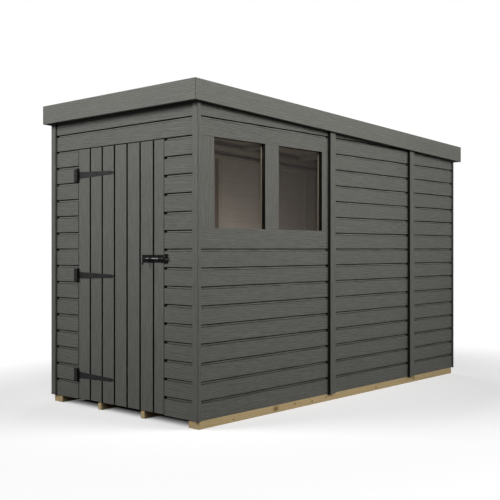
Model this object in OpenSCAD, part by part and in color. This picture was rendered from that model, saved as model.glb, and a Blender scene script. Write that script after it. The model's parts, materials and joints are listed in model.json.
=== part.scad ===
// Composite pent shed with a boarded door, two fixed panes and a shallow roof that falls
// along its length. X runs across the door end, Y runs away from the door, Z is up.

/* [Body] */
// Width across the door end, over the corner trims
body_w = 1480; // [1400:10:1700]
// Length from the door end to the back, over the corner trims
body_l = 3122; // [3000:10:3600]
// Height of the roof's edge above the head of the door
above_door = 323; // [300:1:420]
// How far the roof falls from the door end to the back
roof_fall = 122; // [60:1:200]
// Height of the bearers under the floor
bearer_h = 49; // [38:1:75]
// Width of the two outer bearers
outer_bearer_w = 90; // [70:1:110]
// Width of the two inner bearers
inner_bearer_w = 36; // [32:1:60]
// Distance from the middle of the shed to an inner bearer
inner_bearer_x = 218; // [180:1:300]
// How far the bearers' ends lie behind the end boards
bearer_inset = 10; // [0:1:30]
// Thickness of the floor sheet
floor_t = 12; // [9:1:22]

/* [Boards] */
// Cover of one wall board
board_pitch = 114; // [112:1:116]
// Height of the first line between boards above the foot of the wall
first_cover = 121; // [114:1:130]
// Thickness of the wall boards and the door boards
board_t = 18; // [15:1:22]
// Depth of the scooped groove between two wall boards
groove_d = 10; // [4:1:12]
// Height of the scooped groove
groove_h = 15; // [12:1:24]
// How far the corner trims stand out from the boards
trim_t = 12; // [8:1:18]
// Width of the corner trims on the two end walls
trim_w = 48; // [40:1:60]
// Width of the corner trim on the side walls
side_trim_w = 15; // [12:1:30]
// Width of the trims over the panel joints
joint_trim_w = 62; // [50:1:80]
// Length of the middle panel on each side
middle_panel_l = 1074; // [950:1:1150]

/* [Framing] */
// Width of the framing timber on the face of the wall
stud_w = 44; // [34:1:50]
// Depth of the framing timber through the wall
stud_d = 40; // [34:1:60]
// Thickness of the top and bottom plates
plate_t = 34; // [28:1:45]
// Depth of the ledger that carries the roof joists on a side wall
ledger_d = 48; // [38:1:60]
// Gap between the ledger and the top plate of the side wall
ledger_gap = 35; // [0:1:45]
// Half of the gap between the frames of two wall panels, and the gap over the side stops
panel_gap = 1; // [0.5:0.5:3]
// Distance from the first panel joint to the stud in the middle panel
middle_stud = 300; // [200:1:500]
// Distance from the back to the middle of the stud in the rear panel
rear_stud = 258; // [150:1:350]

/* [Roof] */
// Depth of the fascia boards
fascia_d = 128; // [110:1:150]
// Thickness of the fascia boards
fascia_t = 20; // [16:1:25]
// Roof overhang beyond the door end
front_over = 50; // [40:1:80]
// Roof overhang beyond the back
back_over = 75; // [40:1:90]
// Roof overhang beyond each side
side_over = 30; // [26:1:45]
// Thickness of the roof sheet
deck_t = 12; // [9:1:18]
// Thickness of the roofing felt
felt_t = 3; // [2:0.5:5]
// How far the felt lies below the top of the fascias
felt_drop = 3; // [1:1:8]
// Depth of the roof joists
joist_d = 42; // [34:1:60]
// Number of roof joists between the end walls
joists = 4; // [2:1:6]
// Distance from the front frame to the middle of the first joist
first_joist = 360; // [200:1:500]
// Distance from the last joist's middle to the back frame
last_joist = 264; // [200:1:500]

/* [Window] */
// Distance from the door end to the first pane
pane_start = 152; // [140:1:170]
// Width of one pane
pane_w = 473; // [440:1:490]
// Width of the stile between the second pane and the panel joint
end_stile_w = 104; // [60:1:140]
// Height of the panes
pane_h = 555; // [450:1:600]
// Width of the post between the panes
mullion_w = 139; // [90:1:160]
// Height of the flat board below the panes
sill_h = 125; // [100:1:150]
// Boards below the window, counted from the ground
sill_boards = 9; // [8:1:9]
// Thickness of the glass
glass_t = 4; // [3:1:6]
// How far the glass runs into the groove of its frame
glass_lap = 10; // [6:1:15]
// How far the glass lies behind the back of the boards
glass_set = 10; // [6:1:14]
// Width of the frame that holds a pane
pane_frame_w = 34; // [28:1:34]
// Depth of the frame that holds a pane
pane_frame_d = 22; // [18:1:30]

/* [Door] */
// Width of the door
door_w = 862; // [780:1:900]
// Place of the door's middle across the shed
door_x = -4; // [-20:1:20]
// Cover of one door board, counted from the hinges
door_board_w = 128; // [100:1:140]
// Width of the V groove between two door boards
door_groove = 11; // [5:1:14]
// Wall boards up to the top of the door
door_courses = 15; // [14:1:15]
// Gap round the door
door_gap = 6; // [6:1:10]
// Width of the ledges across the back of the door
ledge_w = 95; // [70:1:120]
// Thickness of the ledges and braces
ledge_t = 20; // [16:1:25]
// How far the door stops stand into the opening
stop_w = 12; // [8:1:18]
// Gap between the ends of the ledges and the door stops
ledge_gap = 8; // [7:1:12]

/* [Hinges] */
// Height of the hinge plate
hinge_h = 90; // [70:1:110]
// Width of the hinge plate
hinge_plate_w = 40; // [26:1:45]
// Length of the strap from the pin
strap_l = 382; // [300:1:420]
// Width of the strap at the pin
strap_root_w = 45; // [36:1:50]
// Width of the strap where its pointed end begins
strap_end_w = 23; // [16:1:26]
// Length of the strap's pointed end
strap_point = 32; // [20:1:45]
// Thickness of the hinge metal
hinge_t = 3; // [2:0.5:4]
// Radius of the hinge knuckle
knuckle_r = 8; // [6.5:0.5:9]
// Height of the strap's own knuckle
middle_knuckle = 32; // [24:1:40]
// Gap between a knuckle and the boards behind it
knuckle_gap = 0.5; // [0.5:0.5:2]
// Gap between a knuckle and the metal beside it
leaf_gap = 1; // [0.5:0.5:2]
// Radius of the hinge pin
pin_r = 3; // [2.5:0.5:4]
// Radius of the head on each end of the pin
pin_head_r = 5; // [4:0.5:6]
// Height of the head on each end of the pin
pin_head_h = 2; // [1:0.5:3]
// Height of the lowest hinge above the ground
hinge_low = 215; // [190:1:240]
// Distance from one hinge to the next
hinge_step = 685; // [600:1:720]

/* [Bolt] */
// Height of the bolt above the ground
bolt_z = 1019; // [900:1:1100]
// Length of the plate that carries the bolt
bolt_plate_l = 195; // [180:1:240]
// Height of the bolt plate
bolt_plate_h = 48; // [40:1:60]
// Thickness of the bolt plate and the keeper plate
bolt_plate_t = 3; // [2:0.5:4]
// Distance from the edge of the door to the bolt plate
plate_inset = 4; // [2:1:8]
// Radius of the bolt rod
rod_r = 7; // [5:0.5:8]
// Length of the bolt rod up to its bend
rod_l = 144; // [130:1:160]
// How far the drawn rod stands out past the edge of the door
rod_out = 2; // [0:0.5:3]
// Play of the rod in its guides, all round
run_gap = 0.05; // [0.05:0.05:0.5]
// Width of the guide at the edge of the door
end_guide_w = 26; // [18:1:30]
// Width of the guide nearer to the handle
inner_guide_w = 23; // [18:1:28]
// Distance from the end of the plate to the inner guide's far side
inner_guide_x = 115; // [105:1:120]
// Metal of a guide over the rod
guide_wall = 2; // [2:0.5:4]
// Radius of the bend between the rod and its handle
handle_bend = 10; // [8:1:14]
// How far the handle stands out in front of the rod
handle_out = 30; // [28:1:42]
// How far the handle's arm drops below the rod
handle_drop = 22.5; // [20:0.5:36]
// Radius of the handle where it turns straight down
elbow_r = 7.6; // [7.2:0.1:9]
// Length of the handle's upright tip
handle_tip = 10; // [8:1:20]
// Distance from the edge of the doorway to the keeper
keeper_inset = 1.5; // [1:0.5:4]
// Width of the keeper plate
keeper_w = 34; // [28:1:40]
// Height of the keeper plate
keeper_h = 60; // [50:1:70]
// Radius of the keeper plate's corners
keeper_corner = 5; // [3:1:8]
// How far the hoop lies inside the sides of the keeper plate
hoop_inset = 2; // [1:1:5]
// Gap between the thrown rod and the keeper's hoop
keeper_gap = 2; // [1.5:0.5:3]

/* [Hidden] */
$fn = 48;

// Colours
grey = [0.36, 0.36, 0.34];
fascia_grey = [0.42, 0.42, 0.40];
timber = [0.66, 0.55, 0.38];
treated = [0.62, 0.53, 0.38];
metal = [0.05, 0.05, 0.05];

// Outer planes of the body: trims stand on them, boards lie behind them
box_l = body_l + front_over + back_over;
box_w = body_w + 2 * side_over;
y_front = front_over - box_l / 2;
y_back = y_front + body_l;
x_side = body_w / 2;
y_face = y_front + trim_t;
y_face_back = y_back - trim_t;
x_face = x_side - trim_t;
y_stud = y_face + board_t;
y_stud_back = y_face_back - board_t;
x_stud = x_face - board_t;
x_in = x_stud - stud_d;
y_in = y_stud + stud_d;
y_in_back = y_stud_back - stud_d;

// Heights
z_wall = bearer_h;
z_floor = bearer_h + floor_t;
z_plate = z_floor + plate_t;
first_line = z_wall + first_cover;
z_sill = first_line + (sill_boards - 1) * board_pitch;
z_pane = z_sill + sill_h;
z_pane_top = z_pane + pane_h;
z_head = first_line + (door_courses - 1) * board_pitch;
z_header_top = z_head + board_pitch;
front_h = z_head + above_door;

// The roof plane and how far each layer lies below it; sloping faces meet with a hair's gap
seat = 0.05;
roof_slope = roof_fall / box_l;
function roof_z(y) = front_h - (y + box_l / 2) * roof_slope;
deck_top = felt_drop + felt_t;
deck_under = deck_top + deck_t;
wall_top = deck_under + seat;
joist_under = deck_under + joist_d;
ledger_top = joist_under + seat;
side_plate_top = ledger_top + ledger_d + ledger_gap;
side_stud_top = side_plate_top + plate_t + seat;
end_stud_top = wall_top + plate_t + seat;
x_fascia = x_side + side_over - fascia_t;
y_fascia = y_front - front_over + fascia_t;
y_fascia_back = y_back + back_over - fascia_t;
joint_trim_t = x_fascia - x_face;

// Window places along the right side
pane_ys = [y_front + pane_start, y_front + pane_start + pane_w + mullion_w];
y_pane_end = pane_ys[1] + pane_w;
y_mullion_stud = pane_ys[1] - (mullion_w + stud_w) / 2;
x_glass = x_stud - glass_set;

// Panel joints along the sides: the first panel is as long as its window needs
first_joint = y_pane_end + end_stile_w;
y_joints = [first_joint, first_joint + middle_panel_l];

// Door places
x_hinge_edge = door_x - door_w / 2;
x_bolt_edge = door_x + door_w / 2;
x_way_left = x_hinge_edge - door_gap;
x_way_right = x_bolt_edge + door_gap;
z_door = z_wall + door_gap;
z_door_top = z_head - door_gap;
y_stop = y_stud + door_gap;
x_ledge_left = x_way_left + stop_w + ledge_gap;
x_ledge_right = x_way_right - stop_w - ledge_gap;

// Hinge places
x_pin = x_hinge_edge - door_gap / 2;
y_pin = y_face - knuckle_r - knuckle_gap;
x_leaf = x_pin - knuckle_r - leaf_gap;
x_strap = x_pin + knuckle_r + leaf_gap;
hinge_zs = [for (i = [0:2]) hinge_low + i * hinge_step];

// Bolt places
x_plate_end = x_bolt_edge - plate_inset;
x_rod_end = x_bolt_edge + rod_out;
x_keeper = x_way_right + keeper_inset;
rod_y = y_face - bolt_plate_t - rod_r - keeper_gap;
arm_angle = atan2(handle_out, handle_drop);
arm_l = norm([handle_out, handle_drop]);

// How far a cutting tool runs past what it cuts
margin = 1;

// A box between two corners
module block(x0, x1, y0, y1, z0, z1) {
    translate([x0, y0, z0]) cube([x1 - x0, y1 - y0, z1 - z0]);
}

// Stands an outline drawn in Y and Z up and extrudes it along X
module along_x(x0, x1) {
    translate([x0, 0, 0]) rotate([90, 0, 90]) linear_extrude(x1 - x0) children();
}

// Stands an outline drawn in X and Z up and extrudes it along Y
module along_y(y0, y1) {
    translate([0, y1, 0]) rotate([90, 0, 0]) linear_extrude(y1 - y0) children();
}

// A box whose top follows the roof, a set drop below it
module wall_block(x0, x1, y0, y1, z0, drop) {
    along_x(x0, x1) polygon([
        [y0, z0], [y1, z0], [y1, roof_z(y1) - drop], [y0, roof_z(y0) - drop]
    ]);
}

// A layer between two drops below the roof plane
module roof_layer(x0, x1, y0, y1, top, under) {
    along_x(x0, x1) polygon([
        [y0, roof_z(y0) - under], [y1, roof_z(y1) - under],
        [y1, roof_z(y1) - top], [y0, roof_z(y0) - top]
    ]);
}

// Draws what is inside in mirror image across a plane where flip is true
module flipped(flip, across) {
    if (flip) mirror(across) children();
    else children();
}

// Section of a boarded wall: its face is at 0 and its back at board_t. At each line the lower
// board's top edge is scooped back in a cove under the lip of the board above.
module scooped_section(z0, z1) {
    cove_r = (groove_h * groove_h + groove_d * groove_d) / (2 * groove_d);
    difference() {
        translate([0, z0]) square([board_t, z1 - z0]);
        for (z = [first_line:board_pitch:z1 + margin]) if (z > z0 + groove_h)
            intersection() {
                translate([groove_d - cove_r, z]) circle(r = cove_r);
                translate([-margin, z - groove_h]) square([groove_d + margin, groove_h]);
            }
    }
}

// Boards on a side wall; side is 1 for the right wall and -1 for the left
module side_boards(side, y0, y1, z0, drop) {
    z1 = roof_z(y0) - drop;
    intersection() {
        flipped(side > 0, [1, 0, 0]) translate([-x_face, 0, 0])
            along_y(y0, y1) scooped_section(z0, z1);
        wall_block(-x_side, x_side, y0, y1, z0, drop);
    }
}

// Boards on an end wall; end is 1 for the door end and -1 for the back
module end_boards(end, x0, x1, z0, z1) {
    translate([0, end > 0 ? y_face : y_face_back, 0]) flipped(end < 0, [0, 1, 0])
        along_x(x0, x1) scooped_section(z0, z1);
}

// One bearer along the shed, with its middle at x
module bearer(x, w) {
    block(x - w / 2, x + w / 2, y_face + bearer_inset, y_face_back - bearer_inset,
          0, bearer_h);
}

module bearers() {
    color(treated) for (side = [-1, 1]) {
        bearer(side * (x_face - outer_bearer_w / 2), outer_bearer_w);
        bearer(side * inner_bearer_x, inner_bearer_w);
    }
}

module floor_deck() {
    color(timber) block(-x_stud, x_stud, y_stop, y_stud_back, z_wall, z_floor);
}

module front_boards_left() {
    color(grey) end_boards(1, -x_stud, x_way_left, z_wall, z_head);
}

module front_boards_right() {
    color(grey) end_boards(1, x_way_right, x_stud, z_wall, z_head);
}

module front_boards_top() {
    color(grey) end_boards(1, -x_stud, x_stud, z_head, roof_z(y_stud) - wall_top);
}

module right_boards_below_window() {
    color(grey) intersection() {
        side_boards(1, y_face, y_joints[0], z_wall, wall_top);
        block(x_in, x_side, y_face, y_joints[0], z_wall, z_sill);
    }
}

module window_sill_board() {
    color(grey) block(x_stud, x_face, y_face, y_joints[0], z_sill, z_pane);
}

module window_stiles() {
    color(grey) {
        block(x_stud, x_face, y_face, pane_ys[0], z_pane, z_pane_top);
        block(x_stud, x_face, pane_ys[0] + pane_w, pane_ys[1], z_pane, z_pane_top);
        block(x_stud, x_face, y_pane_end, y_joints[0], z_pane, z_pane_top);
    }
}

module window_header_board() {
    color(grey) flipped(true, [1, 0, 0]) translate([-x_face, 0, 0])
        along_y(y_face, y_joints[0]) scooped_section(z_pane_top, z_header_top);
}

module right_boards_above_window() {
    color(grey) side_boards(1, y_face, y_joints[0], z_header_top, wall_top);
}

// A block as large as the light of a pane, grown by a lap all round
module pane_block(y, grow, x0, x1) {
    block(x0, x1, y - grow, y + pane_w + grow, z_pane - grow, z_pane_top + grow);
}

// The frame behind each opening, with the groove that holds its pane
module window_frames() {
    color(timber) for (y = pane_ys) difference() {
        pane_block(y, pane_frame_w, x_stud - pane_frame_d, x_stud);
        pane_block(y, 0, x_in, x_stud + margin);
        pane_block(y, glass_lap, x_glass - glass_t, x_glass);
    }
}

module window_glass() {
    color([0.6, 0.7, 0.75, 0.35]) for (y = pane_ys)
        pane_block(y, glass_lap, x_glass - glass_t, x_glass);
}

module right_middle_boards() {
    color(grey) side_boards(1, y_joints[0], y_joints[1], z_wall, wall_top);
}

module right_rear_boards() {
    color(grey) side_boards(1, y_joints[1], y_face_back, z_wall, wall_top);
}

module left_front_boards() {
    color(grey) side_boards(-1, y_face, y_joints[0], z_wall, wall_top);
}

module left_middle_boards() {
    color(grey) side_boards(-1, y_joints[0], y_joints[1], z_wall, wall_top);
}

module left_rear_boards() {
    color(grey) side_boards(-1, y_joints[1], y_face_back, z_wall, wall_top);
}

module back_boards() {
    color(grey) end_boards(-1, -x_stud, x_stud, z_wall, roof_z(y_face_back) - wall_top);
}

// A trim on each end wall at each corner, and at the door end its narrow side leg
module corner_trims() {
    color(grey) for (side = [-1, 1]) {
        x_end = side > 0 ? x_side - trim_w : -x_side;
        wall_block(x_end, x_end + trim_w, y_front, y_face, z_wall, wall_top);
        wall_block(x_end, x_end + trim_w, y_face_back, y_back, z_wall, wall_top);
        x_leg = side > 0 ? x_face : -x_side;
        wall_block(x_leg, x_leg + trim_t, y_face, y_face + side_trim_w, z_wall, wall_top);
    }
}

module joint_trims() {
    color(grey) for (side = [-1, 1]) for (y = y_joints) {
        x0 = side > 0 ? x_face : -x_fascia;
        wall_block(x0, x0 + joint_trim_t, y - joint_trim_w / 2, y + joint_trim_w / 2,
                   z_wall, wall_top);
    }
}

// Bottom plate, top plate and ledger of one side wall
module side_plates(side) {
    x0 = side > 0 ? x_in : -x_stud;
    x1 = x0 + stud_d;
    block(x0, x1, y_stop, y_stud_back, z_floor, z_plate);
    roof_layer(x0, x1, y_stud, y_stud_back, side_plate_top, side_plate_top + plate_t);
    roof_layer(x0, x1, y_stud, y_stud_back, ledger_top, ledger_top + ledger_d);
}

// One stud of a side wall, from y to y + stud_w
module side_stud(side, y) {
    x0 = side > 0 ? x_in : -x_stud;
    wall_block(x0, x0 + stud_d, y, y + stud_w, z_plate, side_stud_top);
}

// Where the studs of both side walls stand: the corner, each panel joint and the panels' middles
function panel_studs() = [
    y_stud,
    y_joints[0] - panel_gap - stud_w, y_joints[0] + panel_gap,
    y_joints[0] + middle_stud,
    y_joints[1] - panel_gap - stud_w, y_joints[1] + panel_gap,
    y_back - rear_stud - stud_w / 2,
    y_stud_back - stud_w
];

module right_wall_plates() {
    color(timber) side_plates(1);
}

module right_wall_studs() {
    color(timber) {
        for (y = panel_studs()) side_stud(1, y);
        side_stud(1, y_mullion_stud);
    }
}

module left_wall_plates() {
    color(timber) side_plates(-1);
}

module left_wall_studs() {
    color(timber) {
        for (y = panel_studs()) side_stud(-1, y);
        side_stud(-1, y_mullion_stud);
    }
}

module front_wall_plates() {
    color(timber) {
        block(-x_in, x_way_left, y_stop, y_in, z_floor, z_plate);
        block(x_way_right, x_in, y_stop, y_in, z_floor, z_plate);
        roof_layer(-x_in, x_in, y_stud, y_in, wall_top, wall_top + plate_t);
    }
}

module front_wall_studs() {
    color(timber) for (x = [-x_in, x_way_left - stud_w, x_way_right, x_in - stud_w])
        wall_block(x, x + stud_w, y_stud, y_in, z_plate, end_stud_top);
}

module back_wall_plates() {
    color(timber) {
        block(-x_in, x_in, y_in_back, y_stud_back, z_floor, z_plate);
        roof_layer(-x_in, x_in, y_in_back, y_stud_back, wall_top, wall_top + plate_t);
    }
}

module back_wall_studs() {
    color(timber) for (x = [-x_in, -stud_w / 2, x_in - stud_w])
        wall_block(x, x + stud_w, y_in_back, y_stud_back, z_plate, end_stud_top);
}

// One rail of a side wall between two studs
module side_rail(side, y0, y1, z) {
    x0 = side > 0 ? x_in : -x_stud;
    block(x0, x0 + stud_d, y0, y1, z, z + stud_w);
}

module wall_rails() {
    z_middle = (z_wall + z_head) / 2;
    studs = panel_studs();
    color(timber) {
        for (z = [z_pane - pane_frame_w - stud_w, z_pane_top + pane_frame_w]) {
            side_rail(1, studs[0] + stud_w, y_mullion_stud, z);
            side_rail(1, y_mullion_stud + stud_w, studs[1], z);
        }
        for (side = [-1, 1]) for (i = [2, 3, 5, 6])
            side_rail(side, studs[i] + stud_w, studs[i + 1], z_middle);
        block(x_way_left, x_way_right, y_stud, y_in, z_head, z_head + stud_w);
        for (x = [stud_w - x_in, stud_w / 2])
            block(x, x + x_in - 1.5 * stud_w, y_in_back, y_stud_back,
                  z_middle, z_middle + stud_w);
    }
}

module roof_joists() {
    y0 = y_in + first_joist;
    pitch = (y_in_back - last_joist - y0) / (joists - 1);
    color(timber) for (i = [0:joists - 1]) {
        y = y0 + i * pitch - stud_w / 2;
        roof_layer(-x_stud, x_stud, y, y + stud_w, wall_top, joist_under);
    }
}

module roof_deck() {
    color(timber)
        roof_layer(-x_fascia, x_fascia, y_fascia, y_fascia_back, deck_top, deck_under);
}

module roof_felt() {
    color([0.16, 0.17, 0.17])
        roof_layer(-x_fascia, x_fascia, y_fascia, y_fascia_back, felt_drop, deck_top);
}

// One fascia board: the rim of the roof inside an outline in plan, which mitres its ends
module fascia(outline) {
    x_past = box_w / 2 + margin;
    y_past = box_l / 2 + margin;
    color(fascia_grey) intersection() {
        roof_layer(-x_past, x_past, -y_past, y_past, 0, fascia_d);
        linear_extrude(front_h + margin) polygon(outline);
    }
}

module front_fascia() {
    fascia([[-box_w / 2, -box_l / 2], [box_w / 2, -box_l / 2],
            [x_fascia, y_fascia], [-x_fascia, y_fascia]]);
}

module back_fascia() {
    fascia([[-x_fascia, y_fascia_back], [x_fascia, y_fascia_back],
            [box_w / 2, box_l / 2], [-box_w / 2, box_l / 2]]);
}

module side_fascia() {
    fascia([[x_fascia, y_fascia], [box_w / 2, -box_l / 2],
            [box_w / 2, box_l / 2], [x_fascia, y_fascia_back]]);
}

module right_fascia() {
    side_fascia();
}

module left_fascia() {
    flipped(true, [1, 0, 0]) side_fascia();
}

module door_stops() {
    color(timber) {
        for (x = [x_way_left, x_way_right - stop_w])
            block(x, x + stop_w, y_stop, y_in, z_floor, z_head - stop_w - panel_gap);
        block(x_way_left, x_way_right, y_stop, y_in, z_head - stop_w, z_head);
    }
}

// A hinge knuckle barrel from z0 to z1, at the pin
module knuckle(z0, z1) {
    translate([x_pin, y_pin, z0]) cylinder(h = z1 - z0, r = knuckle_r);
}

// The three hinge plates on the left boards, each with its two knuckles and its headed pin
module hinge_plates() {
    split = middle_knuckle / 2 + leaf_gap;
    color(metal) for (z = hinge_zs) {
        lower = z - hinge_h / 2;
        upper = z + hinge_h / 2;
        block(x_leaf - hinge_plate_w, x_leaf, y_face - hinge_t, y_face, lower, upper);
        for (ends = [[lower, z - split], [z + split, upper]]) {
            knuckle(ends[0], ends[1]);
            block(x_leaf - leaf_gap, x_pin, y_face - hinge_t, y_face, ends[0], ends[1]);
        }
        translate([x_pin, y_pin, lower]) cylinder(h = hinge_h, r = pin_r);
        for (foot = [lower - pin_head_h, upper])
            translate([x_pin, y_pin, foot]) cylinder(h = pin_head_h, r = pin_head_r);
    }
}

// Outline of one strap, measured from the pin: it tapers, then closes in a pointed arch
module strap_outline() {
    root = x_strap - x_pin;
    arch = strap_l - strap_point;
    arch_r = strap_point * strap_point / strap_end_w + strap_end_w / 4;
    half = strap_end_w / 2;
    polygon([
        [root, -strap_root_w / 2], [arch, -half], [arch, half], [root, strap_root_w / 2]
    ]);
    intersection() {
        translate([arch, arch_r - half]) circle(r = arch_r);
        translate([arch, half - arch_r]) circle(r = arch_r);
        translate([arch, -strap_end_w]) square([strap_point + margin, 2 * strap_end_w]);
    }
}

module hinge_straps() {
    half = middle_knuckle / 2;
    color(metal) for (z = hinge_zs) difference() {
        union() {
            knuckle(z - half, z + half);
            translate([x_pin, y_face, z]) rotate([90, 0, 0])
                linear_extrude(hinge_t) strap_outline();
            block(x_pin, x_strap + leaf_gap, y_face - hinge_t, y_face - knuckle_gap,
                  z - half, z + half);
        }
        translate([x_pin, y_pin, z - hinge_h / 2])
            cylinder(h = hinge_h, r = pin_r + run_gap);
    }
}

// Boards of the door with V grooves on the outside
module door_boards() {
    color(grey) translate([0, 0, z_door]) linear_extrude(z_door_top - z_door) difference() {
        translate([x_hinge_edge, y_face]) square([door_w, board_t]);
        for (x = [x_hinge_edge + door_board_w:door_board_w:x_bolt_edge - door_groove])
            translate([x, y_face]) rotate(45) square(door_groove / sqrt(2), center = true);
    }
}

module door_ledges() {
    color(timber) for (z = hinge_zs)
        block(x_ledge_left, x_ledge_right, y_stud, y_stud + ledge_t,
              z - ledge_w / 2, z + ledge_w / 2);
}

// Two braces that rise from the hinge side towards the bolt side
module door_braces() {
    color(timber) for (i = [0:1]) {
        z0 = hinge_zs[i] + ledge_w / 2;
        z1 = hinge_zs[i + 1] - ledge_w / 2;
        foot = x_ledge_left + ledge_w / 2;
        head = x_ledge_right - ledge_w / 2;
        along_y(y_stud, y_stud + ledge_t)
            polygon([[foot, z0], [foot + ledge_w, z0], [head, z1], [head - ledge_w, z1]]);
    }
}

// Section of a guide over the rod: its feet lie on the plate, then it arches over the rod
module guide_outline() {
    arch_r = rod_r + guide_wall;
    reach = y_face - rod_y;
    foot = bolt_plate_t + guide_wall;
    difference() {
        union() {
            translate([0, -bolt_plate_h / 2]) square([foot, bolt_plate_h]);
            translate([0, -arch_r]) square([reach, 2 * arch_r]);
            translate([reach, 0]) circle(r = arch_r);
        }
        translate([reach, 0]) circle(r = rod_r + run_gap);
    }
}

// A guide from x to x + w
module rod_guide(x, w) {
    translate([x, y_face, bolt_z]) rotate([90, 0, 90]) mirror([1, 0, 0])
        linear_extrude(w) guide_outline();
}

module bolt_plate() {
    color(metal) {
        block(x_plate_end - bolt_plate_l, x_plate_end, y_face - bolt_plate_t, y_face,
              bolt_z - bolt_plate_h / 2, bolt_z + bolt_plate_h / 2);
        rod_guide(x_plate_end - end_guide_w, end_guide_w);
        rod_guide(x_plate_end - inner_guide_x, inner_guide_w);
    }
}

// Points along an arc, in order, from one angle to the other
function arc(x, y, r, from, to) = [
    for (i = [0:6]) [x + r * cos(from + (to - from) * i / 6), y + r * sin(from + (to - from) * i / 6)]
];

// Outline of the keeper's hoop over the rod: its feet are at 0 and its top has round corners
module hoop_outline() {
    half = rod_r + keeper_gap;
    rise = y_face - rod_y + half;
    wide = half + hinge_t;
    top = rise + hinge_t;
    difference() {
        polygon(concat(
            [[0, -wide]],
            arc(top - half, half - wide, half, -90, 0),
            arc(top - half, wide - half, half, 0, 90),
            [[0, wide]]
        ));
        translate([-margin, -half]) square([rise + margin, 2 * half]);
    }
}

// Outline of the keeper plate: round corners, and open where the rod runs in
module keeper_outline() {
    half = rod_r + keeper_gap;
    x1 = keeper_w - keeper_corner;
    z1 = keeper_h / 2 - keeper_corner;
    difference() {
        hull() for (x = [keeper_corner, x1]) for (z = [-z1, z1])
            translate([x, z]) circle(r = keeper_corner);
        translate([-margin, -half]) square([keeper_w + 2 * margin, 2 * half]);
    }
}

// The keeper on the wall boards: its plate and the hoop that the thrown rod runs into
module bolt_keeper() {
    color(metal) translate([x_keeper, y_face, bolt_z]) {
        rotate([90, 0, 0]) linear_extrude(bolt_plate_t) keeper_outline();
        translate([hoop_inset, 0, 0]) rotate([90, 0, 90]) mirror([1, 0, 0])
            linear_extrude(keeper_w - 2 * hoop_inset) hoop_outline();
    }
}

// The rod with its end bent forward and down as a handle, which turns straight down at a
// slightly thicker elbow
module bolt_rod() {
    color(metal) translate([x_rod_end - rod_l, rod_y, bolt_z]) {
        rotate([0, 90, 0]) cylinder(h = rod_l, r = rod_r);
        rotate([-arm_angle, 0, 0]) {
            translate([0, 0, -handle_bend]) rotate([90, -90, 0])
                rotate_extrude(angle = 90) translate([handle_bend, 0]) circle(r = rod_r);
            translate([-handle_bend, 0, -arm_l]) cylinder(h = arm_l - handle_bend, r = rod_r);
        }
        translate([-handle_bend, -handle_out, -handle_drop]) sphere(r = elbow_r);
        translate([-handle_bend, -handle_out, -handle_drop - handle_tip]) {
            cylinder(h = handle_tip, r = rod_r);
            sphere(r = rod_r);
        }
    }
}

bearers();
floor_deck();
front_boards_left();
front_boards_right();
front_boards_top();
right_boards_below_window();
window_sill_board();
window_stiles();
window_header_board();
right_boards_above_window();
window_frames();
window_glass();
right_middle_boards();
right_rear_boards();
left_front_boards();
left_middle_boards();
left_rear_boards();
back_boards();
corner_trims();
joint_trims();
right_wall_plates();
right_wall_studs();
left_wall_plates();
left_wall_studs();
front_wall_plates();
front_wall_studs();
back_wall_plates();
back_wall_studs();
wall_rails();
roof_joists();
roof_deck();
roof_felt();
front_fascia();
back_fascia();
right_fascia();
left_fascia();
door_stops();
hinge_plates();
bolt_keeper();
door_boards();
door_ledges();
door_braces();
hinge_straps();
bolt_plate();
bolt_rod();
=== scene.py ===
"""Looks of the composite pent shed: single boards, trims, timber, hardware, light and camera."""
import json
import math
import random

import bmesh
import bpy
from mathutils import Matrix, Vector


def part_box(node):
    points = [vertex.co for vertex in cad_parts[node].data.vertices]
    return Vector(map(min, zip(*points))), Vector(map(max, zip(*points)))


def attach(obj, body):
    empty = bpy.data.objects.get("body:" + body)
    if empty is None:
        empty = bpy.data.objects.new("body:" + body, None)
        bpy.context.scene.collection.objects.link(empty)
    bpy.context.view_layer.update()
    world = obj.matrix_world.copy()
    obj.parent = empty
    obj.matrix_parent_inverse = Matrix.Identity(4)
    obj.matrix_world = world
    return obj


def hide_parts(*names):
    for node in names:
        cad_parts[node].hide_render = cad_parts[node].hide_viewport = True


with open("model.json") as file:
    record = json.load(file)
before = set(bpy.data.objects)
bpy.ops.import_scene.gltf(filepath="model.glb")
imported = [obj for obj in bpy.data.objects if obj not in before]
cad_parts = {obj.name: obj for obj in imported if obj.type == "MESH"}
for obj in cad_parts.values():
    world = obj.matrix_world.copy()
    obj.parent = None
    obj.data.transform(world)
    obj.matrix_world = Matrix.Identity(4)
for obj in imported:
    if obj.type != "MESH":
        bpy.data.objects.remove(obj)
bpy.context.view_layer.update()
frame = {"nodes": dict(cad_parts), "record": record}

dice = random.Random(7)

# ---------------------------------------------------------------- sizes
MM = 0.001

# Read from the frame
door_low, door_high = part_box("door_boards")
wall_low, wall_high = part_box("front_boards_left")
fascia_low, fascia_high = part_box("front_fascia")
side_fascia_low, side_fascia_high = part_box("right_fascia")
felt_low, felt_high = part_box("roof_felt")
trim_low, trim_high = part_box("corner_trims")
glass_low, glass_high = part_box("window_glass")
plate_low, plate_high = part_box("bolt_plate")
keeper_low, keeper_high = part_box("bolt_keeper")
back_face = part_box("back_boards")[1].y
knuckle_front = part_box("hinge_plates")[0].y
sill_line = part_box("right_boards_below_window")[1].z
pin = Vector(frame["record"]["behaviour"]["joints"][0]["pos_m"])

# Rows of wall boards: one pitch all round the shed, counted from the head of the door.
# MOST_ROWS is more than any wall has.
DOOR_HEAD = wall_high.z
ROWS_FROM_SILL_TO_HEAD = 6
ROWS_UNDER_HEAD = 14
MOST_ROWS = 40
PITCH = (DOOR_HEAD - sill_line) / ROWS_FROM_SILL_TO_HEAD
FIRST_LINE = DOOR_HEAD - ROWS_UNDER_HEAD * PITCH
SMALLEST_TOP_ROW = 4 * MM

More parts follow.
